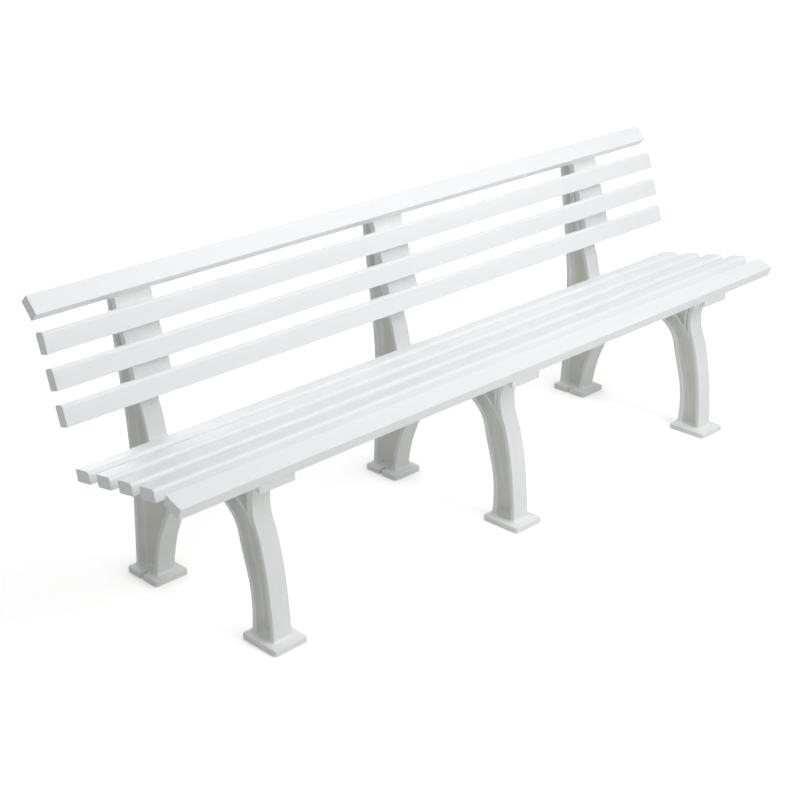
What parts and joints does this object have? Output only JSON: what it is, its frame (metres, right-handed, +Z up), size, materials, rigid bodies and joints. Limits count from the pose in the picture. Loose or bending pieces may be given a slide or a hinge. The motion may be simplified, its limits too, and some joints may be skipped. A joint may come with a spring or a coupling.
{
  "type": "slatted garden bench",
  "caption": "Long slatted park bench: hollow plastic slats with end caps for seat and raked back, screwed to moulded I-section leg frames with flat foot plates.",
  "frame": {"origin": "on the floor, halfway along the bench and halfway between its foremost and its rearmost point", "axes": "+X along the bench, to the right as seen from the front; +Y from the front to the back; +Z up"},
  "size_m": [2, 0.5408, 0.7314],
  "materials": {
    "frame_plastic": "satin off-white moulded plastic",
    "slat_plastic": "satin cool white extruded plastic",
    "cap_plastic": "satin white moulded plastic",
    "screw_steel": "plain stainless steel"
  },
  "bodies": {
    "root": {"back_slat_1": "slat_plastic", "back_slat_1_cap_left": "cap_plastic", "back_slat_1_cap_right": "cap_plastic", "back_slat_1_screws": "screw_steel", "back_slat_2": "slat_plastic", "back_slat_2_cap_left": "cap_plastic", "back_slat_2_cap_right": "cap_plastic", "back_slat_2_screws": "screw_steel", "back_slat_3": "slat_plastic", "back_slat_3_cap_left": "cap_plastic", "back_slat_3_cap_right": "cap_plastic", "back_slat_3_screws": "screw_steel", "back_slat_4": "slat_plastic", "back_slat_4_cap_left": "cap_plastic", "back_slat_4_cap_right": "cap_plastic", "back_slat_4_screws": "screw_steel", "leg_frame_1": "frame_plastic", "leg_frame_2": "frame_plastic", "leg_frame_3": "frame_plastic", "seat_slat_1": "slat_plastic", "seat_slat_1_cap_left": "cap_plastic", "seat_slat_1_cap_right": "cap_plastic", "seat_slat_1_screws": "screw_steel", "seat_slat_2": "slat_plastic", "seat_slat_2_cap_left": "cap_plastic", "seat_slat_2_cap_right": "cap_plastic", "seat_slat_2_screws": "screw_steel", "seat_slat_3": "slat_plastic", "seat_slat_3_cap_left": "cap_plastic", "seat_slat_3_cap_right": "cap_plastic", "seat_slat_3_screws": "screw_steel", "seat_slat_4": "slat_plastic", "seat_slat_4_cap_left": "cap_plastic", "seat_slat_4_cap_right": "cap_plastic", "seat_slat_4_screws": "screw_steel", "seat_slat_5": "slat_plastic", "seat_slat_5_cap_left": "cap_plastic", "seat_slat_5_cap_right": "cap_plastic", "seat_slat_5_screws": "screw_steel"}
  },
  "joints": []
}
